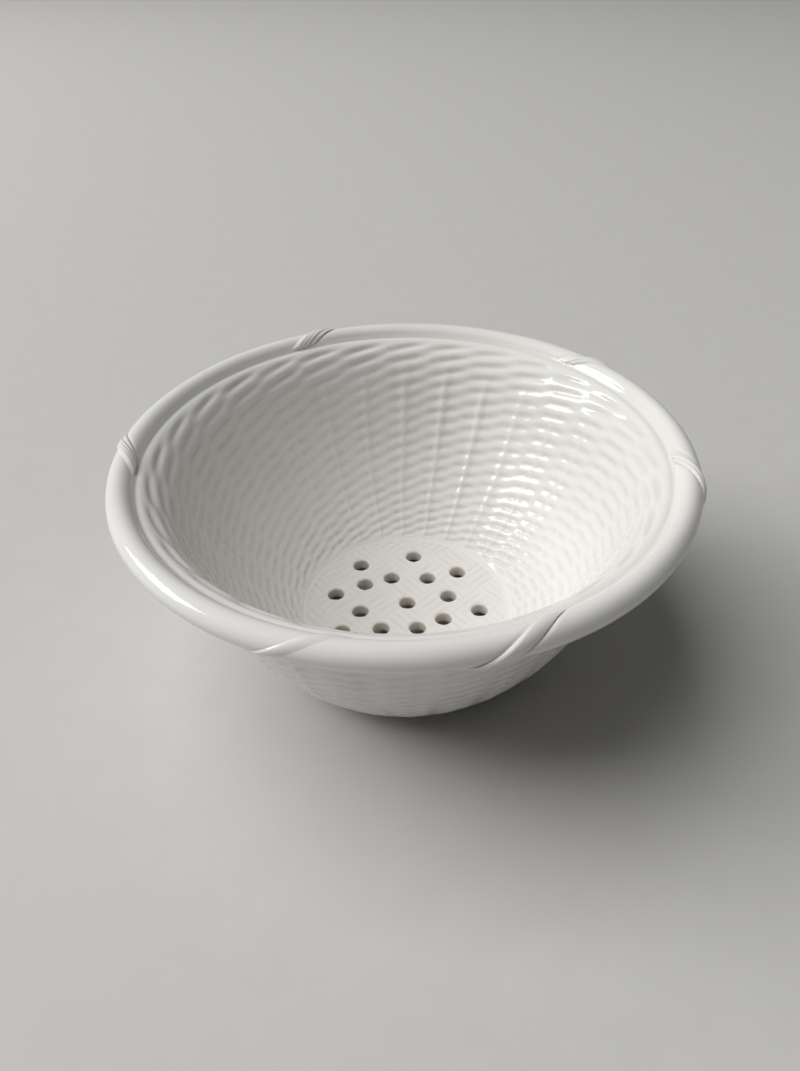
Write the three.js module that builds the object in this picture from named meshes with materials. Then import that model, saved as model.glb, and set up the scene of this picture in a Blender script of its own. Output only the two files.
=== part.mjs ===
// White glazed colander in the form of a round basket. The wall is twined basketwork in relief, inside
// and out: upright stakes with rows of slanting stitches between them. A flat pierced floor closes it,
// a low ring carries it, a thick roll finishes the rim, and cord lashings cross the roll on the slant.
// Units are millimetres and +Z is up. The origin is the centre of the ring that the bowl stands on.

import * as THREE from 'three';
import { mergeVertices } from 'three/addons/utils/BufferGeometryUtils.js';

// Rolled rim
const RIM_DIAMETER = 210;
const ROLL_THICKNESS = 9;
const ROLL_SIDES = 12;
const ROLL_STEPS = 72;

// Bowl: BOWL_DEPTH runs from the floor's upper face to the middle of the roll
const BOWL_DEPTH = 76;
const WALL_AT_RIM = 5;
const WALL_AT_FOOT = 13; // the wall swells into a heavy heel
const RIM_SLOPE = 15; // degrees from level: the wall flares to the rim
const FOOT_SLOPE = 38;
const RIM_SWEEP = 19; // how far the wall holds its slope at the rim and at the floor
const FOOT_SWEEP = 53;
const LIP_THICKNESS = 0.8; // edge of the wall where it laps the roll
const LIP_TURN = 172; // where the inner lip stands, in degrees round the roll
const SEAT_STEPS = 3;
const EASED_EDGE = 0.4;

// Basketwork
const STAKES = 28;
const ROWS = 18;
const ROW_CLOSING = 0.45; // how much lower the last row is than the first, as a share
const STITCH_DEPTH = 2.2; // crest to groove where a stitch passes over a stake
const TWIST_DEPTH = 0.6; // crest to groove midway between two stakes, where two strands twist
const STAKE_RISE = 0.4;
const STAKE_LEAN = 2.5; // degrees that a stake turns about the bowl on its way down

// Floor and its hand-pierced holes, as rings about one centre hole
const FLOOR_RADIUS = 43;
const FLOOR_THICKNESS = 6;
const FLOOR_SIDES = 2 * STAKES;
const HOLE_DIAMETER = 6.6;
const HOLE_SIDES = 12;
const INNER_RING = {
  radius: 18.4,
  turn: 13,
  turnWander: [-2, -1, 7, -3, 0, -3, 4, -1],
  radiusWander: [0.3, -0.1, -1.4, 2.9, 1.3, -0.3, -2.8, 0.1],
};
const OUTER_RING = {
  radius: 30.9,
  turn: 36,
  turnWander: [3, 1, 2, -3, -5, 0, 0, -1],
  radiusWander: [-0.9, -0.4, 0.8, -0.3, 0.1, 0, 0, 0.5],
};

// Foot ring, measured at its top
const FOOT_HEIGHT = 6;
const FOOT_WIDTH = 9;
const FLOOR_LEDGE = 2; // how far the ring reaches in under the floor
const FOOT_TAPER = 1.5; // how far each side draws in towards the ground

// Lashings: a flat band of cords wound once over the roll
const LASHING_TURNS = [38, 112, 180, 255, 291, 349]; // degrees round the rim
const LASHING_CORDS = 3;
const LASHING_WIDTH = 9.5;
const LASHING_THICKNESS = 0.8;
const LASHING_VALLEY = 0.55; // thickness between two cords, as a share of a cord's
const LASHING_EDGE = 0.3;
const LASHING_LAY = 0.055; // turn round the rim for each turn round the roll
const LASHING_OUTER_END = -90; // degrees round the roll
const LASHING_INNER_END = 166;
const LASHING_STEPS = 11;

// Space left between neighbouring pieces
const JOIN_GAP = 0.3;

// Fineness of the working: corners nearer than WELD are one corner
const WELD = 0.0001;
const HALVINGS = 40;
const CURVE_STEPS = 400;

// Places that follow from the sizes above
const FLOOR_TOP = FOOT_HEIGHT + FLOOR_THICKNESS;
const ROLL_RADIUS = ROLL_THICKNESS / 2;
const ROLL_CENTRE = new THREE.Vector2(RIM_DIAMETER / 2 - ROLL_RADIUS, FLOOR_TOP + BOWL_DEPTH);
const SEAT_RADIUS = ROLL_RADIUS + JOIN_GAP;
const ROLL_CREST = 90; // degrees round the roll
const QUARTER_TURN = Math.PI / 2;

const GLAZE = { color: 0xeceae4, roughness: 0.16, metalness: 0 };
const BARE_CLAY = { color: 0xddd6c8, roughness: 0.7, metalness: 0 };

const radians = THREE.MathUtils.degToRad;

/** A point at an angle, in degrees, and a distance from a centre. */
function polar(centre, degrees, distance) {
  const angle = radians(degrees);
  return new THREE.Vector2(Math.cos(angle), Math.sin(angle)).multiplyScalar(distance).add(centre);
}

/** Evenly spaced points round a circle. */
function ringOfPoints(centre, radius, sides) {
  return Array.from({ length: sides }, (_, k) => polar(centre, (360 * k) / sides, radius));
}

/** The lowest place in 0..1 where a rising measure is no longer negative. */
function firstReached(measure) {
  let low = 0;
  let high = 1;
  for (let halving = 0; halving < HALVINGS; halving++) {
    const middle = (low + high) / 2;
    if (measure(middle) < 0) low = middle;
    else high = middle;
  }
  return high;
}

/** One closed skin with shared corners, as a named mesh. */
function piece(name, geometry, finish) {
  geometry.deleteAttribute('normal');
  geometry.deleteAttribute('uv');
  const skin = mergeVertices(geometry, WELD);
  skin.computeVertexNormals();
  const mesh = new THREE.Mesh(skin, new THREE.MeshStandardMaterial(finish));
  mesh.name = name;
  return mesh;
}

/** A closed section, in radius and height, turned about the upright axis. */
function turned(section, steps) {
  const geometry = new THREE.LatheGeometry([...section, section[0]], steps);
  return geometry.rotateX(QUARTER_TURN);
}

// Inner face of the wall in section, from the lip at the rim down to the floor's edge
const innerCurve = (() => {
  const top = polar(ROLL_CENTRE, LIP_TURN, SEAT_RADIUS + LIP_THICKNESS);
  const foot = new THREE.Vector2(FLOOR_RADIUS + JOIN_GAP, FLOOR_TOP);
  const topHandle = polar(top, RIM_SLOPE - 180, RIM_SWEEP);
  const footHandle = polar(foot, FOOT_SLOPE, FOOT_SWEEP);
  const curve = new THREE.CubicBezierCurve(top, topHandle, footHandle, foot);
  curve.arcLengthDivisions = CURVE_STEPS;
  return curve;
})();

/** A point of the wall's section: a share of the way down, at a distance outwards from the inner face. */
function wallPoint(share, outwards) {
  const tangent = innerCurve.getTangentAt(share);
  const normal = new THREE.Vector2(-tangent.y, tangent.x);
  return innerCurve.getPointAt(share).addScaledVector(normal, outwards);
}

/** A point of the wall's section on the inner face, raised from it by a height. */
function innerPoint(share, height) {
  return wallPoint(share, -height);
}

/** The same on the outer face, which swells away from the inner one towards the foot. */
function outerPoint(share, height) {
  return wallPoint(share, THREE.MathUtils.lerp(WALL_AT_RIM, WALL_AT_FOOT, share * share) + height);
}

// The outer face starts clear of the roll and stops just above the wall's underside
const OUTER_TOP = firstReached((share) => {
  const reach = outerPoint(share, 0).distanceTo(ROLL_CENTRE);
  return reach - SEAT_RADIUS - LIP_THICKNESS;
});
const OUTER_FOOT = firstReached((share) => FOOT_HEIGHT + EASED_EDGE - outerPoint(share, 0).y);

/** How far down the wall a row lies, as a share of the whole, with the rows closing up towards the floor. */
function rowShare(row, top, foot) {
  const passed = row - (ROW_CLOSING * row * (row / ROWS) ** 3) / 4;
  const whole = ROWS * (1 - ROW_CLOSING / 4);
  return THREE.MathUtils.lerp(top, foot, passed / whole);
}

/**
 * The wall's section on a stake or midway between two stakes. Crests and grooves alternate on both, half
 * a row apart, so that every strand climbs one row from stake to stake.
 */
function wallSection(onStake) {
  const depth = onStake ? STITCH_DEPTH : TWIST_DEPTH;
  const halfRows = Array.from({ length: 2 * ROWS - 1 }, (_, k) => k + 1);
  const rise = (k) => ((k % 2 === 1) === onStake ? depth : -depth) / 2 + (onStake ? STAKE_RISE : 0);
  const inner = halfRows.map((k) => innerPoint(rowShare(k / 2, 0, 1), rise(k)));
  const outer = halfRows.map((k) => outerPoint(rowShare(k / 2, OUTER_TOP, OUTER_FOOT), rise(k)));

  const outerTop = outerPoint(OUTER_TOP, 0);
  const outerLip = outerTop.clone().sub(ROLL_CENTRE);
  const outerLipTurn = 360 + THREE.MathUtils.radToDeg(Math.atan2(outerLip.y, outerLip.x));
  const seat = Array.from({ length: SEAT_STEPS + 1 }, (_, k) =>
    polar(ROLL_CENTRE, THREE.MathUtils.lerp(LIP_TURN, outerLipTurn, k / SEAT_STEPS), SEAT_RADIUS),
  );

  const outerFoot = outerPoint(OUTER_FOOT, 0);
  const underside = [
    new THREE.Vector2(outerFoot.x - EASED_EDGE, FOOT_HEIGHT),
    new THREE.Vector2(FLOOR_RADIUS + JOIN_GAP, FOOT_HEIGHT),
  ];
  return [
    innerPoint(1, 0), ...inner.reverse(), innerPoint(0, 0),
    ...seat, outerTop, ...outer, outerFoot, ...underside,
  ];
}

/** The woven wall: the two sections take turns round the bowl, each turned a little further as it goes down. */
function wovenWall() {
  const columns = 2 * STAKES;
  const closed = (section) => [...section, section[0]];
  const sections = [closed(wallSection(true)), closed(wallSection(false))];
  const geometry = new THREE.LatheGeometry(sections[0], columns);
  const { position } = geometry.attributes;
  for (let column = 0; column <= columns; column++) {
    const section = sections[column % 2];
    section.forEach((point, k) => {
      const lean = radians(STAKE_LEAN) * ((ROLL_CENTRE.y - point.y) / BOWL_DEPTH);
      const angle = ((column % columns) * 2 * Math.PI) / columns + lean;
      position.setXYZ(column * section.length + k, point.x * Math.sin(angle), point.y, point.x * Math.cos(angle));
    });
  }
  // The section runs up the inside and down the outside, so its triangles are turned to face out
  const { index } = geometry;
  for (let k = 0; k < index.count; k += 3) {
    const second = index.getX(k + 1);
    index.setX(k + 1, index.getX(k + 2));
    index.setX(k + 2, second);
  }
  return piece('woven_wall', geometry.rotateX(QUARTER_TURN), GLAZE);
}

/** The round roll that finishes the rim. */
function rimRoll() {
  return piece('rim_roll', turned(ringOfPoints(ROLL_CENTRE, ROLL_RADIUS, ROLL_SIDES), ROLL_STEPS), GLAZE);
}

/** Centres of one ring of holes, each a little off its even place as a hand leaves it. */
function holeCentres({ radius, turn, turnWander, radiusWander }) {
  const count = turnWander.length;
  return turnWander.map((wander, k) =>
    polar(new THREE.Vector2(), turn + (360 * k) / count + wander, radius + radiusWander[k]),
  );
}

/** The flat floor, pierced for draining. */
function piercedFloor() {
  const centre = new THREE.Vector2();
  const shape = new THREE.Shape(ringOfPoints(centre, FLOOR_RADIUS, FLOOR_SIDES));
  const centres = [centre, ...holeCentres(INNER_RING), ...holeCentres(OUTER_RING)];
  shape.holes = centres.map((at) => new THREE.Path(ringOfPoints(at, HOLE_DIAMETER / 2, HOLE_SIDES)));
  const geometry = new THREE.ExtrudeGeometry(shape, { depth: FLOOR_THICKNESS, bevelEnabled: false });
  return piece('pierced_floor', geometry.translate(0, 0, FOOT_HEIGHT), GLAZE);
}

/** The low ring that carries the floor and the wall, with sides that draw in and a flat bare underside. */
function footRing() {
  const inner = FLOOR_RADIUS - FLOOR_LEDGE;
  const outer = inner + FOOT_WIDTH;
  const top = FOOT_HEIGHT - JOIN_GAP;
  const section = [
    [inner + FOOT_TAPER + EASED_EDGE, 0],
    [outer - FOOT_TAPER - EASED_EDGE, 0],
    [outer - FOOT_TAPER, EASED_EDGE],
    [outer, top],
    [inner, top],
    [inner + FOOT_TAPER, EASED_EDGE],
  ];
  return piece('foot_ring', turned(section.map(([r, z]) => new THREE.Vector2(r, z)), FLOOR_SIDES), BARE_CLAY);
}

/** A band of cords wound over the roll on the slant, thin at its edges and ends. */
function lashing(name, turn) {
  const strips = 2 * LASHING_CORDS;
  const geometry = new THREE.BoxGeometry(1, 1, 1, strips, LASHING_STEPS, 1);
  const { position } = geometry.attributes;
  for (let k = 0; k < position.count; k++) {
    const strip = Math.round((position.getX(k) + 0.5) * strips);
    const step = Math.round((position.getY(k) + 0.5) * LASHING_STEPS);
    const rollTurn = THREE.MathUtils.lerp(LASHING_OUTER_END, LASHING_INNER_END, step / LASHING_STEPS);
    const atEdge = strip % strips === 0 || step % LASHING_STEPS === 0;
    const cord = strip % 2 ? 1 : LASHING_VALLEY;
    const thickness = LASHING_THICKNESS * (atEdge ? LASHING_EDGE : cord);
    const section = polar(ROLL_CENTRE, rollTurn, SEAT_RADIUS + (position.getZ(k) > 0 ? thickness : 0));
    const across = (position.getX(k) * LASHING_WIDTH) / ROLL_CENTRE.x;
    const angle = radians(turn + LASHING_LAY * (rollTurn - ROLL_CREST)) + across;
    position.setXYZ(k, section.x * Math.cos(angle), section.x * Math.sin(angle), section.y);
  }
  return piece(name, geometry, GLAZE);
}

const colander = new THREE.Group();
colander.add(footRing(), piercedFloor(), wovenWall(), rimRoll());
const lashings = new THREE.Group();
LASHING_TURNS.forEach((turn, k) => lashings.add(lashing(`rim_lashing_${k + 1}`, turn)));
colander.add(lashings);

export default colander;
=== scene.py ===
"""Looks of a white glazed colander in basket form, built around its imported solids.

The wall is twined basketwork in relief on both faces. A flat floor with hand-pierced holes closes it,
a low ring carries it, a thick roll finishes the rim, and cord lashings cross the roll on the slant.
Lengths are metres, angles are degrees, and +Z is up from the table that the bowl stands on.
"""

import logging
import math
from bisect import bisect_right
from dataclasses import dataclass, field
from enum import Enum
from typing import Callable, Sequence

import bmesh
import bpy
from mathutils import Matrix, Vector, noise
from mathutils.geometry import interpolate_bezier
from mathutils.kdtree import KDTree

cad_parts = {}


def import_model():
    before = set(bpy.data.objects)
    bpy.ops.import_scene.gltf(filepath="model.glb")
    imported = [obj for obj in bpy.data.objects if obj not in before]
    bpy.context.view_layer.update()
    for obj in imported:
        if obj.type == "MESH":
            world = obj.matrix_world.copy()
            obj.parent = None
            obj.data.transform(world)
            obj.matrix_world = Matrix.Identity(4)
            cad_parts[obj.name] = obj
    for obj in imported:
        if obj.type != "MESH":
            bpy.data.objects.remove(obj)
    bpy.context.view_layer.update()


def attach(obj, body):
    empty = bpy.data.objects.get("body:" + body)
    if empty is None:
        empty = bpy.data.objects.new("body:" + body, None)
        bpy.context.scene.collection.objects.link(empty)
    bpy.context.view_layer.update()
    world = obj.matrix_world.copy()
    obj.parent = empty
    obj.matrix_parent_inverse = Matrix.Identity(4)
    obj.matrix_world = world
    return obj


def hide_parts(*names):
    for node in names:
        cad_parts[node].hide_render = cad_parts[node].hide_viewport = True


LOG = logging.getLogger("colander")

Colour = tuple[float, float, float]

BODY = "root"
PAINTED_SHADE = "hollow"  # attribute of painted shade: 0 on crests, 1 at the bottom of a groove and in other recesses
PHOTO_HEIGHT = 1071


class Face(Enum):
    """Part of the wall's skin that a point of its section lies on."""

    INNER = "inner"
    OUTER = "outer"
    LIP = "lip"
    PLAIN = "plain"


def lerp(start: float, end: float, share: float) -> float:
    """Returns the value a share of the way from start to end."""
    return start + (end - start) * share


def eased(share: float) -> float:
    """Returns a share held to 0..1 that leaves 0 and reaches 1 gently."""
    held = min(1.0, max(0.0, share))
    return held * held * (3.0 - 2.0 * held)


def bell(distance: float, width: float) -> float:
    """Returns a smooth hump of height 1 at distance 0 that fades over width."""
    return math.exp(-((distance / width) ** 2))


def polar(centre: Vector, angle: float, distance: float) -> Vector:
    """Returns the point of a section at a distance from a centre, its angle turning upwards from outwards."""
    turn = math.radians(angle)
    return centre + Vector((math.cos(turn), math.sin(turn))) * distance


def heading(at: Vector) -> float:
    """Returns the angle of a direction from its first axis towards its second."""
    return math.degrees(math.atan2(at.y, at.x))


def about_axis(point: Vector, turn: float) -> Vector:
    """Returns a point of a section, turned about the bowl's axis."""
    way = math.radians(turn)
    return Vector((point.x * math.cos(way), point.x * math.sin(way), point.y))


def wander(*seed: float) -> float:
    """Returns a steady unevenness in -1..1, as a hand leaves it, for a place named by up to three numbers."""
    return noise.noise(Vector((*seed, 0.37, 0.71, 0.19)[:3]))


class SectionCurve:
    """A curve in radius and height that is walked by share of its length."""

    STEPS = 400

    def __init__(self, start: Vector, start_handle: Vector, end_handle: Vector, end: Vector) -> None:
        """Measures the curve.

        Args:
            start: First point.
            start_handle: Point that the curve leaves towards.
            end_handle: Point that the curve arrives from.
            end: Last point.
        """
        self.points = interpolate_bezier(start, start_handle, end_handle, end, self.STEPS)
        self.reach = [0.0]
        for before, after in zip(self.points, self.points[1:]):
            self.reach.append(self.reach[-1] + (after - before).length)
        self.length = self.reach[-1]

    def _span(self, share: float) -> tuple[int, float]:
        """Finds the step that holds a share of the length.

        Args:
            share: Share of the length, 0 to 1.

        Returns:
            Number of the step and the share of the way along it.
        """
        goal = min(1.0, max(0.0, share)) * self.length
        step = min(bisect_right(self.reach, goal), len(self.reach) - 1) - 1
        return step, (goal - self.reach[step]) / (self.reach[step + 1] - self.reach[step])

    def at(self, share: float) -> Vector:
        """Returns the point at a share of the length."""
        step, part = self._span(share)
        return self.points[step].lerp(self.points[step + 1], part)

    def side(self, share: float) -> Vector:
        """Finds the direction to the left of the walk.

        Args:
            share: Share of the length.

        Returns:
            Unit direction.
        """
        step, _ = self._span(share)
        along = (self.points[step + 1] - self.points[step]).normalized()
        return Vector((-along.y, along.x))


@dataclass(frozen=True)
class BowlSection:
    """Upright section of the bowl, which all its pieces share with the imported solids.

    Attributes:
        rim_radius: Outside radius of the roll.
        roll_radius: Radius of the roll's own section.
        floor_radius: Where the wall meets the floor.
        floor_top: Height of the floor's upper face.
        floor_under: Height of the floor's underside, and of the wall's.
        depth: Height of the roll's middle over the floor.
        wall_at_rim: Thickness of the wall at the rim.
        wall_at_foot: Thickness of the wall at the foot.
        lip_angle: Where the inner face starts, round the roll.
        lip_gap: How far outside the roll's skin the inner face starts.
        rim_slope: Slope of the inner face at the rim, from level.
        foot_slope: Slope of the inner face at the floor.
        rim_sweep: How far the face holds its slope from the rim.
        foot_sweep: How far the face holds its slope from the floor.
    """

    rim_radius: float = 0.105
    roll_radius: float = 0.0045
    floor_radius: float = 0.0433
    floor_top: float = 0.012
    floor_under: float = 0.006
    depth: float = 0.076
    wall_at_rim: float = 0.005
    wall_at_foot: float = 0.013
    lip_angle: float = 172.0
    lip_gap: float = 0.0011
    rim_slope: float = 17.0
    foot_slope: float = 38.0
    rim_sweep: float = 0.019
    foot_sweep: float = 0.053

    @property
    def roll_centre(self) -> Vector:
        """Radius and height of the roll's middle."""
        return Vector((self.rim_radius - self.roll_radius, self.floor_top + self.depth))

    def inner_curve(self) -> SectionCurve:
        """Returns the inner face from the rim down to the floor."""
        top = polar(self.roll_centre, self.lip_angle, self.roll_radius + self.lip_gap)
        foot = Vector((self.floor_radius, self.floor_top))
        return SectionCurve(
            top,
            polar(top, self.rim_slope - 180.0, self.rim_sweep),
            polar(foot, self.foot_slope, self.foot_sweep),
            foot,
        )

    def thickness(self, share: float) -> float:
        """Returns the wall's thickness a share of the way down."""
        return lerp(self.wall_at_rim, self.wall_at_foot, share * share)


@dataclass(frozen=True)
class Twining:
    """Relief of a twined basket: strands climb a row from stake to stake, in stitches that tuck in midway.

    Attributes:
        stakes: Stakes round the bowl.
        rows: Rows from rim to floor.
        closing: How much lower the last row is than the first, as a share.
        first_stake: Angle of one stake at the rim.
        lean: How far a stake turns about the bowl on its way down.
        depth_at_rim: Crest to groove in the first rows, over a stake.
        depth_below: Crest to groove in the rows below them.
        depth_at_foot: Crest to groove in the last rows.
        deep_rows: Rows over which the depth changes at each end.
        slant: Climb of a stitch over a stake, in rows from stake to stake. The rest is climbed midway.
        slant_swing: How much more it is on one side of the bowl and less on the other.
        swing_turn: Angle of the side where it is most.
        tuck: Depth midway between stakes where stitches lie flattest, as a share of that over a stake.
        stake_rise: Height of the soft ridge over a stake, where it is most.
        stake_width: Half width of that ridge, as a share of the way between stakes.
        stake_fill: How much of a groove that crosses the ridge is filled, as a share.
        stake_turn: Angle of the side where the ridges are highest.
        stake_worn: Their height on the other sides, as a share.
        crowding: How much closer than even the mesh's columns lie over a stake, as a share.
        dip: Depth of the hollow between the first strand and the roll.
        lead: How far the first groove lies above a whole row, in rows.
        hand: Unevenness of the work, in rows.
    """

    stakes: int = 28
    rows: int = 18
    closing: float = 0.45
    first_stake: float = 88.2
    lean: float = 2.5
    depth_at_rim: float = 0.0011
    depth_below: float = 0.0006
    depth_at_foot: float = 0.001
    deep_rows: float = 4.0
    slant: float = 0.58
    slant_swing: float = 0.12
    swing_turn: float = 80.0
    tuck: float = 0.3
    stake_rise: float = 0.0005
    stake_width: float = 0.085
    stake_fill: float = 0.45
    stake_turn: float = 90.0
    stake_worn: float = 0.3
    crowding: float = 0.5
    dip: float = 0.0005
    lead: float = 0.12
    hand: float = 0.12

    RUN_IN = 0.8  # rows over which the strands settle at each end
    FADE_IN = 0.35  # row where the relief starts
    FADE = 0.5  # rows over which it fades at each end
    DIP_ROWS = 0.15  # width of the dip
    RIDGE_ROW = 1.5  # row where the ridges start
    SHARPNESS = 1.5  # power that narrows a groove
    STRAIGHT = 8  # power that keeps a stitch straight until near midway
    NIP = 6  # power that keeps the tuck near midway
    FLATTEST = 0.5  # slant of the stitches that tuck in most
    FLAT_SPAN = 0.4  # how much more slant leaves no tuck
    FACING = 0.7  # cosine of the angle off the ridges' side where they start to rise
    FACING_SPAN = 0.25  # how much more of it raises them fully
    DRIFT = 4.5  # radius of the circle on which unevenness is read
    DRIFT_ROWS = 0.4  # how fast it changes from row to row
    PRESS_HAND = 0.3  # unevenness of the depth, as a share
    PRESS_DRIFT = 1.9  # how much faster the depth changes round the bowl
    PRESS_ROWS = 0.8  # how fast it changes from row to row
    PRESS_SEED = 9.0  # where it is read
    OUTER_SEED = 50.0  # where unevenness is read for the outer face

    def row_share(self, row: float) -> float:
        """Returns how far down the woven part a row lies, with the rows closing up towards the floor."""
        passed = row - self.closing * row * (row / self.rows) ** 3 / 4.0
        return passed / (self.rows * (1.0 - self.closing / 4.0))

    def column_turn(self, step: float) -> float:
        """Draws a column of the mesh in towards the nearest stake.

        Args:
            step: Angle of the column from the first stake, with all columns even.

        Returns:
            Angle round the bowl.
        """
        along = step * self.stakes / 360.0
        drawn = along - self.crowding * math.sin(math.tau * along) / math.tau
        return self.first_stake + drawn * 360.0 / self.stakes

    def relief(self, turn: float, row: float, face: Face) -> tuple[float, float]:
        """Works out the relief at a place of the wall.

        Args:
            turn: Angle round the bowl, before the stakes' lean.
            row: Row counted down from the rim, whole at a groove that crosses a stake.
            face: Face of the wall. Strands climb to the right on each, seen from its own side.

        Returns:
            Height over the mean face, and the painted shade, 0 to 1, darkest in grooves and in the dip by the
            roll.
        """
        along = (turn - self.first_stake) * self.stakes / 360.0
        beyond = along - round(along)
        way = math.radians(turn)
        east, north = self.DRIFT * math.cos(way), self.DRIFT * math.sin(way)
        inner = face is Face.INNER
        seed = 0.0 if inner else self.OUTER_SEED
        left = self.rows - row
        settled = eased(row / self.RUN_IN) * eased(left / self.RUN_IN)
        slant = self.slant + self.slant_swing * math.cos(way - math.radians(self.swing_turn))
        climb = along - (1.0 - slant) * beyond * (1.0 - (2.0 * beyond) ** self.STRAIGHT)
        uneven = self.hand * wander(east, north, row * self.DRIFT_ROWS + seed)
        strand = row + settled * (self.lead + uneven) + (-climb if inner else climb)
        groove = (0.5 + 0.5 * math.cos(math.tau * strand)) ** self.SHARPNESS
        tuck = lerp(self.tuck, 1.0, eased((slant - self.FLATTEST) / self.FLAT_SPAN))
        press = lerp(1.0, tuck, settled * math.sin(math.pi * beyond) ** self.NIP)
        press *= 1.0 + self.PRESS_HAND * wander(
            east * self.PRESS_DRIFT, north * self.PRESS_DRIFT, row * self.PRESS_ROWS + seed + self.PRESS_SEED
        )
        ridge = bell(beyond, self.stake_width) * eased((row - self.RIDGE_ROW) / self.deep_rows)
        press *= 1.0 - self.stake_fill * ridge
        facing = math.cos(way - math.radians(self.stake_turn)) - self.FACING
        rise = self.stake_rise * lerp(self.stake_worn, 1.0, eased(facing / self.FACING_SPAN))
        ends = eased((row - self.FADE_IN) / self.FADE) * eased(left / self.FADE)
        depth = lerp(self.depth_at_rim, self.depth_below, eased(row / self.deep_rows))
        depth = lerp(self.depth_at_foot, depth, eased(left / (2.0 * self.deep_rows)))
        depth *= press * ends
        dip = bell(row, self.DIP_ROWS) if inner else 0.0
        height = rise * ridge * ends - depth * groove - self.dip * dip
        # The second value is painted shade, darkest in the grooves and in the dip by the roll.
        return height, min(1.0, groove * press * ends + dip)


def fill(tree: bpy.types.NodeTree, node: bpy.types.Node, inputs: dict[str | int, object]) -> None:
    """Fills a node's inputs.

    Args:
        tree: Tree that holds the node.
        node: The node.
        inputs: What each input takes: another node's output to link, or a constant.
    """
    for name, value in inputs.items():
        if isinstance(value, bpy.types.NodeSocket):
            tree.links.new(value, node.inputs[name])
        else:
            node.inputs[name].default_value = value


def added(
    tree: bpy.types.NodeTree, kind: str, inputs: dict[str | int, object], **settings: str
) -> bpy.types.bpy_prop_collection:
    """Adds a node to a material or a world.

    Args:
        tree: Tree that gets the node.
        kind: Type of the node.
        inputs: What its inputs take.
        settings: Its own properties.

    Returns:
        The node's outputs.
    """
    node = tree.nodes.new(f"ShaderNode{kind}")
    for name, value in settings.items():
        setattr(node, name, value)
    fill(tree, node, inputs)
    return node.outputs


@dataclass(frozen=True)
class Glaze:
    """Glossy white glaze with a few dark specks, painted greyer in its hollows as shade.

    Attributes:
        name: Name of the material.
        crest: Colour of the glaze on crests and open faces.
        hollow_shade: Colour painted into hollows as shade.
        gloss: Roughness of the smoothest glaze.
        dull: Roughness of the least smooth glaze.
        ripple: Strength of the slight waves in the surface.
        specks: Share of the surface's cells that hold a speck.
    """

    name: str
    crest: Colour
    hollow_shade: Colour
    gloss: float = 0.03
    dull: float = 0.08
    ripple: float = 0.1
    specks: float = 0.02

    IOR = 1.52
    SPECK_COLOUR = (0.16, 0.12, 0.09, 1.0)

    def material(self) -> bpy.types.Material:
        """Builds the material.

        Returns:
            A node material that reads object coordinates and the mesh's attribute of painted shade.
        """
        material = bpy.data.materials.new(self.name)
        material.use_nodes = True
        tree = material.node_tree
        place = added(tree, "TexCoord", {})["Object"]
        # Painted shade: the attribute mixes the glaze towards its darker hollow colour.
        shade_share = added(tree, "Attribute", {}, attribute_name=PAINTED_SHADE)["Fac"]
        body = added(tree, "Mix", {
            "Factor": shade_share, "A": (*self.crest, 1.0), "B": (*self.hollow_shade, 1.0),
        }, data_type="RGBA")["Result"]
        cloud = added(tree, "TexNoise", {"Scale": 38.0, "Detail": 3.0, "Vector": place})["Fac"]
        veil = added(tree, "MapRange", {
            "From Min": 0.3, "From Max": 0.7, "To Min": 0.965, "To Max": 1.0, "Value": cloud,
        })["Result"]
        tinted = added(tree, "Mix", {
            "Factor": 1.0, "A": body, "B": veil,
        }, data_type="RGBA", blend_type="MULTIPLY")["Result"]

        cells = added(tree, "TexVoronoi", {"Scale": 140.0, "Vector": place})
        chosen = added(tree, "SeparateColor", {"Color": cells["Color"]})["Red"]
        rare = added(tree, "Math", {0: chosen, 1: self.specks}, operation="LESS_THAN")["Value"]
        dot = added(tree, "MapRange", {
            "From Min": 0.05, "From Max": 0.1, "To Min": 0.75, "To Max": 0.0, "Value": cells["Distance"],
        })["Result"]
        speck = added(tree, "Math", {0: rare, 1: dot}, operation="MULTIPLY")["Value"]
        colour = added(tree, "Mix", {
            "Factor": speck, "A": tinted, "B": self.SPECK_COLOUR,
        }, data_type="RGBA")["Result"]

        sheen = added(tree, "MapRange", {
            "From Min": 0.35, "From Max": 0.7, "To Min": self.gloss, "To Max": self.dull, "Value": cloud,
        })["Result"]
        waves = added(tree, "TexNoise", {"Scale": 190.0, "Detail": 1.0, "Vector": place})["Fac"]
        bump = added(tree, "Bump", {"Strength": self.ripple, "Distance": 0.0004, "Height": waves})["Normal"]
        fill(tree, tree.nodes["Principled BSDF"], {
            "IOR": self.IOR, "Base Color": colour, "Roughness": sheen, "Normal": bump,
        })
        return material


@dataclass(frozen=True)
class Matte:
    """A matte, finely grained surface, such as bare fired clay or a painted table.

    Attributes:
        name: Name of the material.
        colour: Middle colour.
        shade: Colour of its darker grains.
        roughness: Roughness.
        grain: Scale of the grain.
        relief: Strength of the grain's relief.
    """

    name: str
    colour: Colour
    shade: Colour
    roughness: float
    grain: float
    relief: float

    def material(self) -> bpy.types.Material:
        """Builds the material.

        Returns:
            A node material that reads object coordinates.
        """
        material = bpy.data.materials.new(self.name)
        material.use_nodes = True
        tree = material.node_tree
        place = added(tree, "TexCoord", {})["Object"]
        grains = added(tree, "TexNoise", {"Scale": self.grain, "Detail": 4.0, "Vector": place})["Fac"]
        colour = added(tree, "Mix", {
            "Factor": grains, "A": (*self.shade, 1.0), "B": (*self.colour, 1.0),
        }, data_type="RGBA")["Result"]
        bump = added(tree, "Bump", {"Strength": self.relief, "Distance": 0.0003, "Height": grains})["Normal"]
        fill(tree, tree.nodes["Principled BSDF"], {
            "Base Color": colour, "Roughness": self.roughness, "Normal": bump,
        })
        return material


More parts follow.
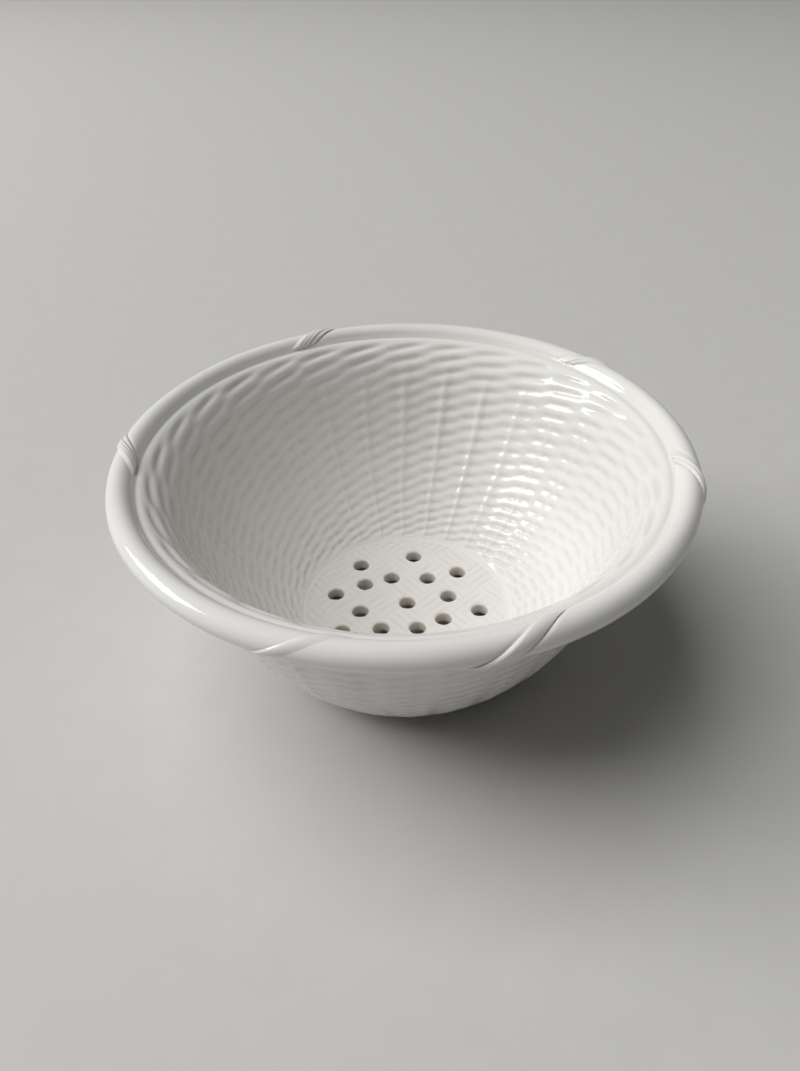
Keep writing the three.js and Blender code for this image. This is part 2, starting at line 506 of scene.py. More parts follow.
def spun(section: Sequence[Vector], columns: int) -> bmesh.types.BMesh:
    """Turns a closed section about the upright axis.

    Args:
        section: Radius and height of each point, in order round the section.
        columns: Steps round the axis.

    Returns:
        A closed mesh facing outwards, whose vertices keep their place in the section in the layer "place".
    """
    mesh = bmesh.new()
    place = mesh.verts.layers.int.new("place")
    ring = []
    for number, point in enumerate(section):
        vertex = mesh.verts.new((point.x, 0.0, point.y))
        vertex[place] = number
        ring.append(vertex)
    edges = [mesh.edges.new((ring[k - 1], ring[k])) for k in range(len(ring))]
    bmesh.ops.spin(
        mesh, geom=ring + edges, cent=(0, 0, 0), axis=(0, 0, 1),
        angle=math.tau, steps=columns, use_merge=True,
    )
    bmesh.ops.recalc_face_normals(mesh, faces=mesh.faces)
    return mesh


def finished(
    mesh: bmesh.types.BMesh, name: str, materials: Sequence[bpy.types.Material],
    nodes: Sequence[str],
) -> None:
    """Makes a piece of a mesh and sets it on the part.

    Args:
        mesh: Mesh of the piece, in place. It is freed.
        name: Name of the piece.
        materials: Its finishes, in the order of the faces' material numbers.
        nodes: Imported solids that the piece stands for.
    """
    data = bpy.data.meshes.new(name)
    mesh.to_mesh(data)
    mesh.free()
    data.shade_smooth()
    for material in materials:
        data.materials.append(material)
    piece = bpy.data.objects.new(name, data)
    bpy.context.scene.collection.objects.link(piece)
    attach(piece, BODY)
    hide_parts(*nodes)
    LOG.info("%s: %d faces", name, len(data.polygons))


@dataclass(frozen=True)
class Place:
    """A point of the wall's section.

    Attributes:
        point: Radius and height on the mean face.
        outward: Unit direction that the face looks.
        face: Part of the skin.
        row: Row of the weave, counted down from the rim. On the lip, the share of the way to the roll.
    """

    point: Vector
    outward: Vector
    face: Face
    row: float


@dataclass
class WovenWall:
    """The bowl's wall, woven in relief on both faces, which runs into the roll above and the floor below.

    Attributes:
        section: Section of the bowl.
        weave: Relief of the wall.
        finish: Glaze of the wall.
        roll_skin: The roll's radius at an angle round the rim and one round the roll.
        columns: Columns of the mesh between two stakes.
        inner_steps: Steps of the mesh in a row of the inner face.
        outer_steps: Steps of the mesh in a row of the outer face.
        plain_band: Unwoven strip below the last row.
        join_steps: Steps of each rounded join.
        sink: How far a join runs in under its neighbour's skin.
        roll_join: Angle round the roll where the inner face runs into it.
        floor_join: How far in over the floor the inner face runs out.
        heel: Rounding at the foot of the outer face.
    """

    section: BowlSection
    weave: Twining
    finish: Glaze
    roll_skin: Callable[[float, float], float]
    columns: int = 12
    inner_steps: int = 8
    outer_steps: int = 5
    plain_band: float = 0.0012
    join_steps: int = 9
    sink: float = 0.000012
    roll_join: float = 150.0
    floor_join: float = 0.0012
    heel: float = 0.0012

    FLOOR_HANDLE = 0.0008  # reach of the joins' handles
    LIP_HANDLE = 0.0002
    ROLL_HANDLE = 0.0012
    UNDER_HANDLE = 0.0016
    IN_FLOOR = (0.0008, 0.0003)  # how far in and down the inner face ends inside the floor
    LIP_TAIL = ((4.0, 0.00001), (9.0, 0.00008), (18.0, 0.0006))  # turn and depth of points inside the roll
    UNDER_TURN = 14.0  # where the outer face's join meets the roll, past the face
    BURIED_TURN = 24.0  # where it ends inside the roll
    BURIED = 0.0004  # and how deep

    def __post_init__(self) -> None:
        """Measures the inner face and finds where the outer face leaves the roll and meets the underside."""
        self.inner = self.section.inner_curve()
        clear = self.section.roll_radius + self.section.lip_gap
        self.outer_top = self._first(lambda s: (self._outer(s) - self.section.roll_centre).length - clear)
        self.outer_foot = self._first(lambda s: self.section.floor_under + self.heel - self._outer(s).y)

    @staticmethod
    def _first(measure: Callable[[float], float]) -> float:
        """Finds where a rising measure is no longer negative.

        Args:
            measure: Measure of a share, 0 to 1.

        Returns:
            The lowest such share.
        """
        low, high = 0.0, 1.0
        for _ in range(40):
            middle = (low + high) / 2.0
            low, high = (middle, high) if measure(middle) < 0.0 else (low, middle)
        return high

    def _outer(self, share: float) -> Vector:
        """Returns the point of the outer face across from a share of the inner one."""
        return self.inner.at(share) + self.inner.side(share) * self.section.thickness(share)

    def _woven(self, face: Face, steps: int) -> list[Place]:
        """Lays out the rows of one face.

        Args:
            face: Inner or outer face.
            steps: Steps in a row.

        Returns:
            Places from the first row down to the last.
        """
        band = self.plain_band / self.inner.length
        inner = face is Face.INNER
        top, foot = (0.0, 1.0 - band) if inner else (self.outer_top, self.outer_foot - band)
        places = []
        for step in range(self.weave.rows * steps + 1):
            row = step / steps
            share = lerp(top, foot, self.weave.row_share(row))
            side = self.inner.side(share)
            point = self.inner.at(share) if inner else self._outer(share)
            places.append(Place(point, -side if inner else side, face, row))
        return places

    def _join(self, start: Vector, leave: Vector, arrive: Vector, end: Vector) -> list[Place]:
        """Returns plain places along a rounded join, by its ends and its handles, without the ends."""
        points = interpolate_bezier(start, leave, arrive, end, self.join_steps + 1)
        return [self._plain(point) for point in points[1:-1]]

    @staticmethod
    def _plain(point: Vector) -> Place:
        """Returns a place without relief."""
        return Place(point, Vector((0.0, 0.0)), Face.PLAIN, 0.0)

    @staticmethod
    def _onward(before: Place, last: Place, reach: float) -> Vector:
        """Returns the point a reach past the last of two places, in line with them."""
        return last.point + (last.point - before.point).normalized() * reach

    def places(self) -> list[Place]:
        """Lays out the whole section.

        Returns:
            Places from the floor up the inner face, over the seat of the roll, down the outer face and under.
        """
        section = self.section
        inner = self._woven(Face.INNER, self.inner_steps)[::-1]
        outer = self._woven(Face.OUTER, self.outer_steps)

        on_floor = Vector((section.floor_radius - self.floor_join, section.floor_top - self.sink))
        floor_leave = on_floor + Vector((self.floor_join, 0.0))
        floor_arrive = self._onward(inner[1], inner[0], self.FLOOR_HANDLE)
        floor_run = self._join(on_floor, floor_leave, floor_arrive, inner[0].point)
        in_floor = on_floor - Vector(self.IN_FLOOR)

        seat = section.roll_radius - self.sink
        on_roll = polar(section.roll_centre, self.roll_join, seat)
        roll_arrive = polar(on_roll, self.roll_join + 90.0, self.ROLL_HANDLE)
        dip = inner[-1].outward * self.weave.dip
        roll_leave = self._onward(inner[-2], inner[-1], self.LIP_HANDLE) - dip
        join = self._join(inner[-1].point - dip, roll_leave, roll_arrive, on_roll)
        lip = [place.point for place in join] + [on_roll]
        hidden = [
            polar(section.roll_centre, self.roll_join - turn, seat - sunk) for turn, sunk in self.LIP_TAIL
        ]
        roll_run = [
            Place(point, (point - section.roll_centre).normalized(), Face.LIP, min(1.0, number / len(lip)))
            for number, point in enumerate(lip + hidden, 1)
        ]

        under_angle = 360.0 + heading(outer[0].point - section.roll_centre)
        under_roll = polar(section.roll_centre, under_angle + self.UNDER_TURN, seat)
        under_leave = polar(under_roll, under_angle - 80.0, self.ROLL_HANDLE)
        in_roll = polar(section.roll_centre, under_angle + self.BURIED_TURN, seat - self.BURIED)
        under_arrive = self._onward(outer[1], outer[0], self.UNDER_HANDLE)
        under_run = self._join(under_roll, under_leave, under_arrive, outer[0].point)

        heel_leave = self._onward(outer[-2], outer[-1], self.heel + self.plain_band)
        under = Vector((heel_leave.x - self.heel, section.floor_under))
        heel_run = self._join(outer[-1].point, heel_leave, under + Vector((self.heel, 0.0)), under)
        inner_edge = Vector((section.floor_radius, section.floor_under))
        return [
            self._plain(in_floor), self._plain(on_floor), *floor_run, *inner, *roll_run,
            self._plain(in_roll), self._plain(under_roll), *under_run, *outer, *heel_run,
            self._plain(under), self._plain(inner_edge),
        ]

    def build(self) -> None:
        """Spins the section, presses the weave into it and turns it with the stakes' lean."""
        places = self.places()
        mesh = spun([place.point for place in places], self.weave.stakes * self.columns)
        number = mesh.verts.layers.int["place"]
        hollow = mesh.verts.layers.float.new(PAINTED_SHADE)
        top = self.section.roll_centre.y
        for vertex in mesh.verts:
            place = places[vertex[number]]
            turn = self.weave.column_turn(heading(vertex.co))
            lean = self.weave.lean * (top - place.point.y) / self.section.depth
            point = place.point
            if place.face is Face.LIP:
                skin = self.roll_skin(turn + lean, heading(place.outward) % 360.0)
                sunk = skin - self.section.roll_radius
                point = point + place.outward * sunk * eased(place.row)
                # Painted shade on the lip, darkest in the valley where it leaves the wall.
                vertex[hollow] = 1.0 - eased(place.row)
            elif place.face is not Face.PLAIN:
                height, vertex[hollow] = self.weave.relief(turn, place.row, place.face)
                point = point + place.outward * height
            vertex.co = about_axis(point, turn + lean)
        mesh.verts.layers.int.remove(number)
        finished(mesh, "glazed_wall", [self.finish.material()], ["woven_wall"])


@dataclass(frozen=True)
class Crease:
    """A soft groove along a lashing.

    Attributes:
        place: Place across the band, -1 at its edge with the lower angle round the rim and 1 at the other.
        depth: Depth.
        width: Half width, in the measure of the place.
    """

    place: float
    depth: float
    width: float = 0.13


@dataclass(frozen=True)
class Lashing:
    """A flat band of cords wound once over the roll on the slant.

    Attributes:
        number: Number of its solid.
        turn: Angle round the rim where it crosses the roll's crest.
        width: Width along the rim.
        creases: Grooves between its cords.
        height: Height of the cords over the roll.
        crest: Place across the band where it is highest.
        edges: How gently it falls to its lower and its higher edge: under 1 is a full round, 2 a soft slope.
        pinches: Depth of the grooves pressed into the roll beside its lower and its higher edge.
    """

    number: int
    turn: float
    width: float
    creases: tuple[Crease, ...]
    height: float = 0.001
    crest: float = 0.0
    edges: tuple[float, float] = (0.75, 0.75)
    pinches: tuple[float, float] = (0.0003, 0.0003)

    LAY = 0.07  # degrees round the rim for each degree round the roll
    CREST = 90.0  # angle round the roll of its crest
    OUTER_END = -80.0  # angles where the band ends
    INNER_END = 176.0
    OUTER_FADE = 25.0  # angles over which it fades there
    INNER_FADE = 22.0
    HOLLOW_START = 142.0  # angle where the wall starts to run in
    HOLLOW_SPAN = 33.0  # angle over which the band is lifted there
    HOLLOW_RISE = 0.0005  # how far it is lifted
    HOLLOW_POWER = 2.7  # how late
    SINK = 0.00015  # how far its edges lie in the roll

    def offset(self, turn: float, angle: float, radius: float) -> float:
        """Returns how far along the rim a place, by its angles round rim and roll, lies from the band."""
        away = (turn - self.turn - self.LAY * (angle - self.CREST) + 180.0) % 360.0 - 180.0
        return math.radians(away) * radius

    def ends(self, angle: float) -> float:
        """Returns 1 along the band and 0 past its two ends, for an angle round the roll."""
        outer, inner = angle - self.OUTER_END, self.INNER_END - angle
        return eased(outer / self.OUTER_FADE) * eased(inner / self.INNER_FADE)

    def cut(self, offset: float) -> float:
        """Returns the depth of the creases at a distance from the middle of the band."""
        across = offset / (self.width / 2.0)
        return sum(crease.depth * bell(across - crease.place, crease.width) for crease in self.creases)

    def thickness(self, offset: float, angle: float) -> float:
        """Works out how high the band stands over the roll.

        Args:
            offset: Distance from the middle of the band, along the rim.
            angle: Angle round the roll.

        Returns:
            Height over the roll's skin: negative at the band's edges and ends, lifted where the wall runs in.
        """
        across = offset / (self.width / 2.0) - self.crest
        fall = across / (1.0 - self.crest) if across > 0.0 else across / (1.0 + self.crest)
        arch = max(0.0, 1.0 - fall * fall) ** self.edges[across > 0.0] * self.height
        hollow = max(0.0, (angle - self.HOLLOW_START) / self.HOLLOW_SPAN) ** self.HOLLOW_POWER
        return (arch - self.cut(offset)) * self.ends(angle) + hollow * self.HOLLOW_RISE - self.SINK


@dataclass
class RimRoll:
    """The thick roll that finishes the rim, pinched where the lashings cross it.

    Attributes:
        section: Section of the bowl.
        lashings: Bands that cross it.
        finish: Glaze of the rim.
        sides: Steps round the roll.
        columns: Steps round the rim.
        unevenness: How far the hand-made roll departs from true.
        pinch_width: Width of the groove beside a lashing.
        band_steps: Steps of a lashing's mesh, across and along.
    """

    section: BowlSection
    lashings: Sequence[Lashing]
    finish: Glaze
    sides: int = 48
    columns: int = 840
    unevenness: float = 0.0002
    pinch_width: float = 0.001
    band_steps: tuple[int, int] = (30, 70)

    DRIFT = 2.2  # radius of the circle on which unevenness is read
    DRIFT_ANGLE = 120.0  # angle round the roll over which it changes
    PINCH_REACH = 4.0  # widths past which a groove beside a lashing has faded
    BAND_DEPTH = 0.0006  # how deep a lashing's body reaches
    FULL_PINCH = 0.0004  # depth of a groove beside a lashing that gets the full painted shade
    FULL_CREASE = 0.0005  # depth of a crease that gets the full painted shade

    def skin(self, turn: float, angle: float) -> float:
        """Works out the roll's radius at a place.

        Args:
            turn: Angle round the rim.
            angle: Angle round the roll.

        Returns:
            Distance of the skin from the roll's middle.
        """
        way = math.radians(turn)
        east, north = self.DRIFT * math.cos(way), self.DRIFT * math.sin(way)
        rise = self.unevenness * wander(east, north, angle / self.DRIFT_ANGLE)
        for lashing in self.lashings:
            offset = lashing.offset(turn, angle, self.section.roll_centre.x)
            beside = abs(offset) - lashing.width / 2.0
            if abs(beside) < self.PINCH_REACH * self.pinch_width:
                rise -= lashing.pinches[offset > 0.0] * bell(beside, self.pinch_width) * lashing.ends(angle)
        return self.section.roll_radius + min(rise, 0.0)

    def _point(self, turn: float, angle: float, distance: float) -> Vector:
        """Returns a point by its angles round rim and roll and its distance from the roll's middle."""
        return about_axis(polar(self.section.roll_centre, angle, distance), turn)

    def build_roll(self, material: bpy.types.Material) -> None:
        """Spins the roll and presses the lashings' grooves into it.

        Args:
            material: Glaze of the rim.
        """
        angles = [360.0 * k / self.sides for k in range(self.sides)]
        ring = [polar(self.section.roll_centre, angle, self.section.roll_radius) for angle in angles]
        mesh = spun(ring, self.columns)
        number = mesh.verts.layers.int["place"]
        hollow = mesh.verts.layers.float.new(PAINTED_SHADE)
        for vertex in mesh.verts:
            angle = (angles[vertex[number]] + 90.0) % 360.0 - 90.0
            turn = heading(vertex.co)
            skin = self.skin(turn, angle)
            # Painted shade in the grooves beside the lashings.
            vertex[hollow] = min(1.0, (self.section.roll_radius - skin) / self.FULL_PINCH)
            vertex.co = self._point(turn, angle, skin)
        mesh.verts.layers.int.remove(number)
        finished(mesh, "glazed_roll", [material], ["rim_roll"])

    def build_lashing(self, lashing: Lashing, material: bpy.types.Material) -> None:
        """Winds one band of cords over the roll: a closed body, sunk a little into the roll at its edges.

        Args:
            lashing: The band.
            material: Glaze of the rim.
        """
        across, along = self.band_steps
        mesh = bmesh.new()
        bmesh.ops.create_grid(mesh, x_segments=across, y_segments=along, size=0.5)
        hollow = mesh.verts.layers.float.new(PAINTED_SHADE)
        radius = self.section.roll_centre.x
        for vertex in mesh.verts:
            offset = vertex.co.x * lashing.width
            angle = lerp(lashing.OUTER_END, lashing.INNER_END, vertex.co.y + 0.5)
            turn = lashing.turn + lashing.LAY * (angle - lashing.CREST) + math.degrees(offset / radius)
            thickness = lashing.thickness(offset, angle)
            # Painted shade in the creases between the cords.
            vertex[hollow] = min(1.0, lashing.cut(offset) / self.FULL_CREASE)
            vertex.co = self._point(turn, angle, self.section.roll_radius + thickness)
        bmesh.ops.recalc_face_normals(mesh, faces=mesh.faces)
        first = next(iter(mesh.faces))
        centre = first.calc_center_median()
        middle = self._point(heading(centre), 0.0, 0.0)
        if first.normal.dot(centre - middle) < 0.0:
            bmesh.ops.reverse_faces(mesh, faces=mesh.faces)
        bmesh.ops.solidify(mesh, geom=mesh.faces[:], thickness=self.BAND_DEPTH)
        bmesh.ops.recalc_face_normals(mesh, faces=mesh.faces)
        name = f"lashing_{lashing.number}"
        finished(mesh, f"glazed_{name}", [material], [f"rim_{name}"])

    def build(self) -> None:
        """Builds the roll and its lashings in one glaze."""
        material = self.finish.material()
        self.build_roll(material)
        for lashing in self.lashings:
            self.build_lashing(lashing, material)


@dataclass(frozen=True)
class HoleRing:
    """A ring of eight hand-pierced holes, each a little off its even place.

    Attributes:
        radius: Radius of the ring.
        turn: Angle of the first hole.
        turn_wander: How far each hole is turned from its even place.
        radius_wander: How far each hole is out from the ring.
    """

    radius: float
    turn: float
    turn_wander: tuple[float, ...]
    radius_wander: tuple[float, ...]

    def centres(self) -> list[Vector]:
        """Returns the holes' centres."""
        step = 360.0 / len(self.turn_wander)
        origin = Vector((0.0, 0.0))
        return [
            polar(origin, self.turn + step * k + turned, self.radius + out)
            for k, (turned, out) in enumerate(zip(self.turn_wander, self.radius_wander))
        ]


@dataclass
class PiercedFloor:
    """The flat floor: plaited strips of fine ridges in low relief, and drain holes with rounded glazed edges.

    Attributes:
        section: Section of the bowl.
        rings: Rings of holes about the one in the middle.
        finish: Glaze of the floor.
        middle: Place of the hole in the middle.
        shift: How far the rings lie off the bowl's axis.
        reach: Radius of the floor.
        hole_radius: Radius of a hole.
        edge: Rounding of a hole's edge.
        core: Where the mesh of a hole ends, half-way down it.
        segments: Squares of the mesh across the floor.
        plait_turn: Angle of the plaited strips.
        strip: Width of a strip.
        ridges: Fine ridges in a strip.
        ridge_depth: Depth of the grooves between the ridges.
        swell: How far a strip swells where it passes over another.
    """

    section: BowlSection
    rings: Sequence[HoleRing]
    finish: Glaze
    middle: tuple[float, float] = (0.0007, 0.0008)
    shift: tuple[float, float] = (0.0, 0.0008)
    reach: float = 0.0432
    hole_radius: float = 0.0034
    edge: float = 0.0011
    core: float = 0.0012
    segments: int = 212
    plait_turn: float = 41.0
    strip: float = 0.014
    ridges: int = 4
    ridge_depth: float = 0.0003
    swell: float = 0.0002

    HOLE_SIZES = 0.05  # how much the holes differ in size, as a share
    HOLE_WAVES = 0.03  # how much one departs from round
    WAVE_SCALE = 300.0  # how closely its waves follow one another
    SHARPNESS = 1.2  # power that narrows a groove
    FULLNESS = 0.5  # power that fills out a strip's ends
    RIDGE_SHADE = 0.65  # share of painted shade in the grooves between the ridges

    def __post_init__(self) -> None:
        """Collects the holes and half the floor's thickness."""
        self.holes = [Vector(self.middle)]
        for ring in self.rings:
            self.holes += [centre + Vector(self.shift) for centre in ring.centres()]
        self.half = (self.section.floor_top - self.section.floor_under) / 2.0
        self.tree = KDTree(len(self.holes))
        for number, centre in enumerate(self.holes):
            self.tree.insert((*centre, 0.0), number)
        self.tree.balance()

    def _nearest(self, at: Vector) -> tuple[Vector, float]:
        """Finds the hole nearest to a place.

        Args:
            at: Place on the floor.

        Returns:
            The hole's centre and the place's distance from it, in units of an even hole.
        """
        number = self.tree.find((*at, 0.0))[1]
        away = at - self.holes[number]
        uneven = 1.0 + self.HOLE_SIZES * wander(number * 3.7, 1.1)
        uneven += self.HOLE_WAVES * wander(away.x * self.WAVE_SCALE, away.y * self.WAVE_SCALE, number)
        return self.holes[number], away.length / uneven

    def _edge(self, distance: float) -> tuple[float, float]:
        """Rounds the skin over the edge of a hole and down its wall.

        Args:
            distance: Distance from the hole's middle on the flat mesh.

        Returns:
            Radius from the hole's middle, and height over the middle of the floor.
        """
        start = self.hole_radius + self.edge
        if distance >= start:
            return distance, self.half
        quarter = self.edge * math.pi / 2.0
        walk = (start - distance) / (start - self.core) * (quarter + self.half - self.edge)
        if walk < quarter:
            turn = walk / self.edge
            return start - self.edge * math.sin(turn), self.half - self.edge * (1.0 - math.cos(turn))
        return self.hole_radius, self.half - self.edge - (walk - quarter)

    def relief(self, at: Vector) -> tuple[float, float]:
        """Works out the plaited relief at a place.

        Args:
            at: Place on the floor.

        Returns:
            Height over the flat floor, and the painted shade of its grooves, 0 to 1.
        """
        turn = math.radians(self.plait_turn)
        along = (at.x * math.cos(turn) + at.y * math.sin(turn)) / self.strip
        across = (at.y * math.cos(turn) - at.x * math.sin(turn)) / self.strip
        over = (math.floor(along) + math.floor(across)) % 2 == 1
        length, width = (along, across) if over else (across, along)
        groove = (0.5 + 0.5 * math.cos(math.tau * width * self.ridges)) ** self.SHARPNESS
        pass_over = math.sin(math.pi * (length - math.floor(length))) ** self.FULLNESS
        hollow = groove * pass_over
        return self.swell * (pass_over - 1.0) - self.ridge_depth * hollow, hollow

    def build(self) -> None:
        """Shapes one half of the floor from a square mesh, mirrors it and presses the plait into its top."""
        mesh = bmesh.new()
        bmesh.ops.create_grid(mesh, x_segments=self.segments, y_segments=self.segments, size=self.reach)
        outside = [
            vertex for vertex in mesh.verts
            if vertex.co.xy.length > self.reach or self._nearest(vertex.co.xy)[1] < self.core
        ]
        bmesh.ops.delete(mesh, geom=outside, context="VERTS")
        for vertex in mesh.verts:
            flat = vertex.co.xy
            centre, distance = self._nearest(flat)
            if not vertex.is_boundary:
                radius, height = self._edge(distance)
            elif distance < self.hole_radius:
                radius, height = self.hole_radius, 0.0
            else:
                vertex.co = (*(flat.normalized() * self.reach), 0.0)
                continue
            if distance < self.hole_radius + self.edge:
                flat = centre + (flat - centre).normalized() * radius
            vertex.co = (flat.x, flat.y, height)
        everything = mesh.verts[:] + mesh.edges[:] + mesh.faces[:]
        bmesh.ops.mirror(mesh, geom=everything, matrix=Matrix.Identity(4), merge_dist=1e-7, axis="Z")
        bmesh.ops.recalc_face_normals(mesh, faces=mesh.faces)
        hollow = mesh.verts.layers.float.new(PAINTED_SHADE)
        for vertex in mesh.verts:
            share = eased((vertex.co.z - self.half + self.edge) / self.edge)
            height, deep = self.relief(vertex.co.xy)
            vertex.co.z += height * share
            # Painted shade: full down inside the holes, and in the plait's grooves on the top face.
            inside = self._nearest(vertex.co.xy)[1] < self.hole_radius + self.edge
            vertex[hollow] = lerp(1.0 if inside else 0.0, self.RIDGE_SHADE * deep, share)
        middle = (self.section.floor_top + self.section.floor_under) / 2.0
        bmesh.ops.translate(mesh, vec=(0.0, 0.0, middle), verts=mesh.verts)
        finished(mesh, "glazed_floor", [self.finish.material()], ["pierced_floor"])


@dataclass
class FootRing:
    """The low ring that the bowl stands on: glazed sides that run into the bowl, and a bare standing face.

    Attributes:
        section: Section of the bowl.
        glaze: Glaze of the sides.
        clay: Bare clay of the standing face.
        inner_radius: Inner radius at the top.
        outer_radius: Outer radius at the top.
        taper: How far each side draws in towards the ground.
        easing: Rounding of the standing face's edges.
        flare: How far the top flares to run into the bowl.
        columns: Steps round the ring.
        steps: Steps of each curve of its section.
    """

    section: BowlSection
    glaze: Glaze
    clay: Matte
    inner_radius: float = 0.041
    outer_radius: float = 0.05
    taper: float = 0.0015
    easing: float = 0.0008
    flare: float = 0.0016
    columns: int = 252
    steps: int = 7

    def _side(self, radius: float, outward: float) -> list[Vector]:
        """Lays out one side, from the bowl's underside down to the standing face.

        Args:
            radius: Radius of the side at its top.
            outward: 1 on the outside and -1 on the inside.

        Returns:
            Points of the section.
        """
        top = self.section.floor_under + 0.0001
        foot = radius - outward * self.taper
        flare = interpolate_bezier(
            Vector((radius + outward * self.flare, top)),
            Vector((radius + outward * self.flare * 0.3, top)),
            Vector((radius, top - self.flare * 0.4)),
            Vector((lerp(radius, foot, 0.3), top - self.flare)),
            self.steps,
        )
        edge = interpolate_bezier(
            Vector((foot, self.easing)),
            Vector((foot, self.easing * 0.45)),
            Vector((foot - outward * self.easing * 0.55, 0.0)),
            Vector((foot - outward * self.easing, 0.0)),
            self.steps,
        )
        return flare + edge

    def build(self) -> None:
        """Spins the ring and leaves its standing face bare."""
        section = self._side(self.outer_radius, 1.0) + self._side(self.inner_radius, -1.0)[::-1]
        mesh = spun(section, self.columns)
        mesh.verts.layers.int.remove(mesh.verts.layers.int["place"])
        mesh.normal_update()
        for face in mesh.faces:
            face.material_index = int(face.normal.z < -0.5 and face.calc_center_median().z < self.easing)
        materials = [self.glaze.material(), self.clay.material()]
        finished(mesh, "glazed_foot", materials, ["foot_ring"])


@dataclass(frozen=True)
class SoftBox:
    """A large soft lamp that looks at the bowl.

    Attributes:
        name: Name of the lamp.
        turn: Angle round the bowl that it stands at.
        rise: Angle over the table.
        distance: Distance from the bowl.
        width: Width of its face.
        height: Height of its face.
        watts: Power.
        mirrored: Whether the glaze shows its reflection.
        colour: Colour of its light.
    """

    name: str
    turn: float
    rise: float
    distance: float
    width: float
    height: float
    watts: float
    mirrored: bool = True
    colour: Colour = (1.0, 1.0, 1.0)

    def build(self, target: Vector) -> None:
        """Sets up the lamp.

        Args:
            target: Point that it looks at.
        """
        lamp = bpy.data.lights.new(self.name, "AREA")
        lamp.shape = "RECTANGLE"
        lamp.size, lamp.size_y = self.width, self.height
        lamp.energy = self.watts
        lamp.color = self.colour
        turn, rise = math.radians(self.turn), math.radians(self.rise)
        way = Vector((math.cos(turn) * math.cos(rise), math.sin(turn) * math.cos(rise), math.sin(rise)))
        stand = bpy.data.objects.new(self.name, lamp)
        stand.location = target + way * self.distance
        stand.rotation_euler = way.to_track_quat("Z", "Y").to_euler()
        stand.visible_glossy = self.mirrored
        bpy.context.scene.collection.objects.link(stand)


@dataclass
class Studio:
    """The pale table, the soft light and the camera.

    Attributes:
        table: Finish of the table.
        table_size: Half the table's width.
        lamps: Lamps.
        ambient: Strength of the light from all round.
        backdrop: Level of the background over the table's edge.
        target: Point that the lamps look at.
        eye: Place of the camera.
        tilt: How far the camera looks down.
        roll: How far the camera is rolled.
        focal_share: Focal length as a share of the photograph's height.
    """

    table: Matte
    lamps: Sequence[SoftBox]
    table_size: float = 12.0
    ambient: float = 0.04
    backdrop: float = 0.4
    target: Vector = field(default_factory=lambda: Vector((0.0, 0.0, 0.05)))
    eye: Vector = field(default_factory=lambda: Vector((-0.00179, -0.2476, 0.2482)))
    tilt: float = 38.831
    roll: float = -1.289
    focal_share: float = 803.0 / PHOTO_HEIGHT

    def _surroundings(self) -> bpy.types.World:
        """Makes the world: dim light from all round, and a pale background for the camera and reflections.

        Returns:
            The world.
        """
        world = bpy.data.worlds.new("studio")
        world.use_nodes = True
        tree = world.node_tree
        path = added(tree, "LightPath", {})
        seen = path["Is Camera Ray"]
        for name in ("Is Glossy Ray", "Is Transmission Ray"):
            seen = added(tree, "Math", {0: seen, 1: path[name]}, operation="MAXIMUM")["Value"]
        level = added(tree, "MapRange", {
            "To Min": self.ambient, "To Max": self.backdrop, "Value": seen,
        })["Result"]
        fill(tree, tree.nodes["Background"], {"Color": (1.0, 1.0, 1.0, 1.0), "Strength": level})
        return world

    def build(self) -> None:
        """Sets the table, the light and the camera."""
        scene = bpy.context.scene
        scene.view_settings.view_transform = "Standard"
        mesh = bmesh.new()
        bmesh.ops.create_grid(mesh, x_segments=8, y_segments=8, size=self.table_size)
        data = bpy.data.meshes.new("table")
        mesh.to_mesh(data)
        mesh.free()
        data.materials.append(self.table.material())
        table = bpy.data.objects.new("table", data)
        scene.collection.objects.link(table)

        scene.world = self._surroundings()
        for lamp in self.lamps:
            lamp.build(self.target)

        lens = bpy.data.cameras.new("camera")
        lens.sensor_width = 36.0
        lens.lens = self.focal_share * lens.sensor_width
        lens.clip_start = 0.01
        camera = bpy.data.objects.new("camera", lens)
        tilt = Matrix.Rotation(math.radians(90.0 - self.tilt), 4, "X")
        roll = Matrix.Rotation(math.radians(self.roll), 4, "Z")
        camera.matrix_world = Matrix.Translation(self.eye) @ tilt @ roll
        scene.collection.objects.link(camera)
        scene.camera = camera


# The second colour of each glaze is painted shade for its hollows.
WALL_GLAZE = Glaze("wall glaze", crest=(0.85, 0.84, 0.81), hollow_shade=(0.78, 0.765, 0.73), specks=0.008)
RIM_GLAZE = Glaze("rim glaze", crest=(0.86, 0.85, 0.82), hollow_shade=(0.76, 0.745, 0.71), specks=0.0)
FLOOR_GLAZE = Glaze("floor glaze", crest=(0.84, 0.83, 0.8), hollow_shade=(0.8, 0.75, 0.68), specks=0.03)
FOOT_GLAZE = Glaze("foot glaze", crest=(0.84, 0.83, 0.8), hollow_shade=(0.76, 0.745, 0.71), specks=0.01)
BARE_CLAY = Matte("bare clay", (0.8, 0.75, 0.67), (0.66, 0.6, 0.52), roughness=0.75, grain=900.0, relief=0.35)
TABLE_PAINT = Matte(
    "table paint", (0.64, 0.635, 0.625), (0.6, 0.595, 0.585), roughness=0.6, grain=60.0, relief=0.05
)

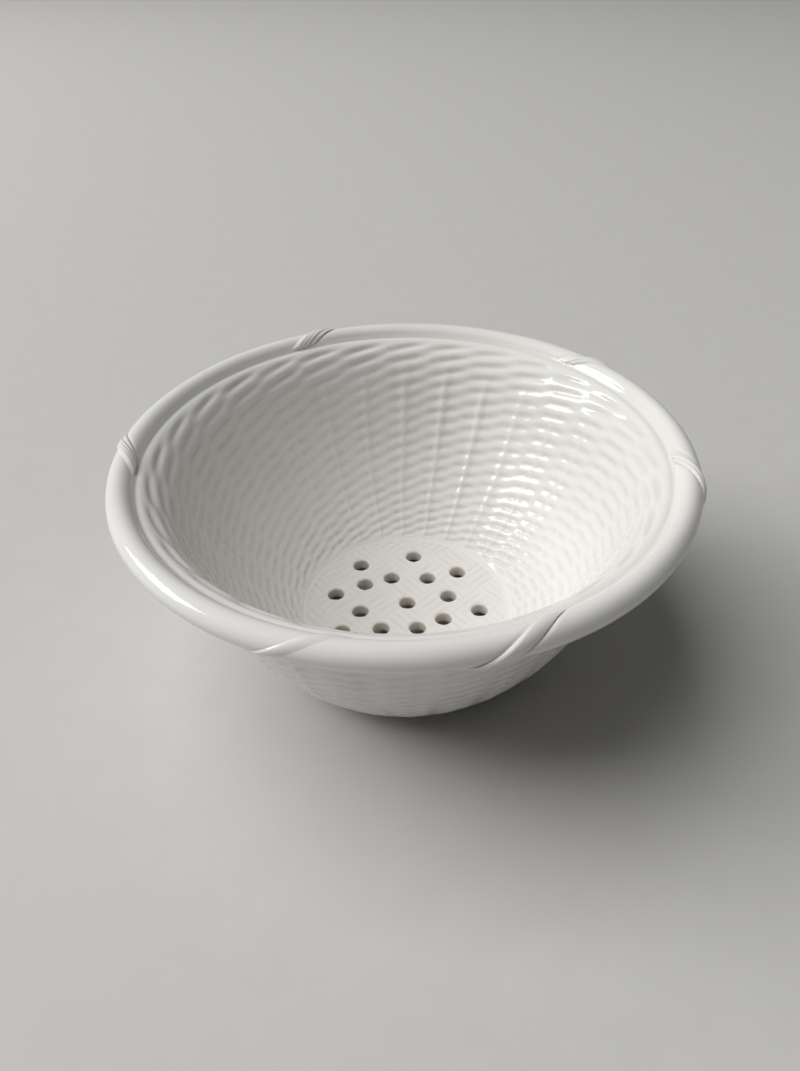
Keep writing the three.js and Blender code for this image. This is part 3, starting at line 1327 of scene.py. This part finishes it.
LASHINGS = (
    Lashing(1, 37.6, 0.009, (Crease(-0.3, 0.0002), Crease(0.35, 0.0002)), edges=(1.2, 2.0)),
    Lashing(
        2, 112.0, 0.0125, (Crease(-0.55, 0.0005, 0.16), Crease(-0.12, 0.0003), Crease(0.2, 0.00025)),
        height=0.0012, crest=0.15, edges=(0.7, 1.5), pinches=(0.0006, 0.0),
    ),
    Lashing(
        3, 180.2, 0.0115, (Crease(-0.5, 0.0005, 0.16), Crease(-0.08, 0.00025), Crease(0.25, 0.00025)),
        height=0.0012, crest=0.15, edges=(0.7, 1.5), pinches=(0.0006, 0.0),
    ),
    Lashing(
        4, 255.0, 0.0115, (Crease(-0.5, 0.0004, 0.12),),
        height=0.0006, crest=-0.1, edges=(1.8, 2.0), pinches=(0.0, 0.0),
    ),
    Lashing(5, 291.0, 0.0085, (), height=0.0009, crest=-0.5, edges=(0.8, 1.0), pinches=(0.0003, 0.0007)),
    Lashing(
        6, 349.3, 0.009, (Crease(-0.35, 0.00025), Crease(0.5, 0.00035)),
        edges=(0.8, 1.2), pinches=(0.0002, 0.0003),
    ),
)

INNER_RING = HoleRing(
    radius=0.0184,
    turn=13.0,
    turn_wander=(-2.0, -1.0, 7.0, -3.0, 0.0, -3.0, 4.0, -1.0),
    radius_wander=(0.0003, -0.0001, -0.0014, 0.0029, 0.0013, -0.0003, -0.0028, 0.0001),
)
OUTER_RING = HoleRing(
    radius=0.0309,
    turn=36.0,
    turn_wander=(3.0, 1.0, 2.0, -3.0, -5.0, 0.0, 0.0, -1.0),
    radius_wander=(-0.0009, -0.0004, 0.0008, -0.0003, 0.0001, 0.0, 0.0, 0.0005),
)

LAMPS = (
    SoftBox(
        "window", turn=171.0, rise=31.0, distance=5.0, width=2.6, height=2.0, watts=108.0,
        colour=(1.0, 0.985, 0.96),
    ),
    SoftBox(
        "skylight", turn=178.0, rise=63.0, distance=5.0, width=4.0, height=4.0, watts=186.0, mirrored=False
    ),
)


def main() -> None:
    """Builds the colander and its studio."""
    logging.basicConfig(level=logging.INFO, format="%(name)s: %(message)s")
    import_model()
    section = BowlSection()
    FootRing(section, FOOT_GLAZE, BARE_CLAY).build()
    PiercedFloor(section, (INNER_RING, OUTER_RING), FLOOR_GLAZE).build()
    rim = RimRoll(section, LASHINGS, RIM_GLAZE)
    WovenWall(section, Twining(), WALL_GLAZE, rim.skin).build()
    rim.build()
    Studio(TABLE_PAINT, LAMPS).build()


if __name__ == "__main__":
    main()
